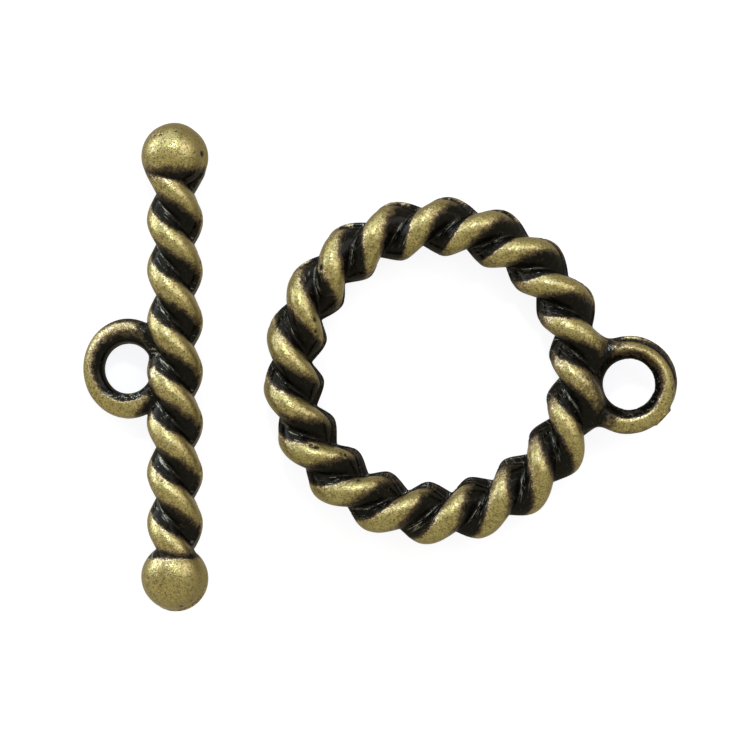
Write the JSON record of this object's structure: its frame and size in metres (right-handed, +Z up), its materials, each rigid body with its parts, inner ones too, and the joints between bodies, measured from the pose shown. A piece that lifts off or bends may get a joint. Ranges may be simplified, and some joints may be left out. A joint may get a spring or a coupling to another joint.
{
  "type": "toggle clasp",
  "caption": "Rope-twist toggle clasp: a round ring and a ball-ended bar, each cast with a small eye, lying side by side as two loose halves.",
  "frame": {"origin": "on the table, at the middle of the ground that the two halves cover", "axes": "+X from the bar half to the ring half, across both eyes; +Y along the bar; +Z up from the table"},
  "size_m": [0.0296, 0.0244, 0.0033],
  "materials": {
    "antique_brass": "antique brass plating: satin olive-gold on the high metal, near-black patina left in the grooves and round the eyes"
  },
  "bodies": {
    "root": {"toggle_ring": "antique_brass", "toggle_bar": "antique_brass"}
  },
  "joints": []
}
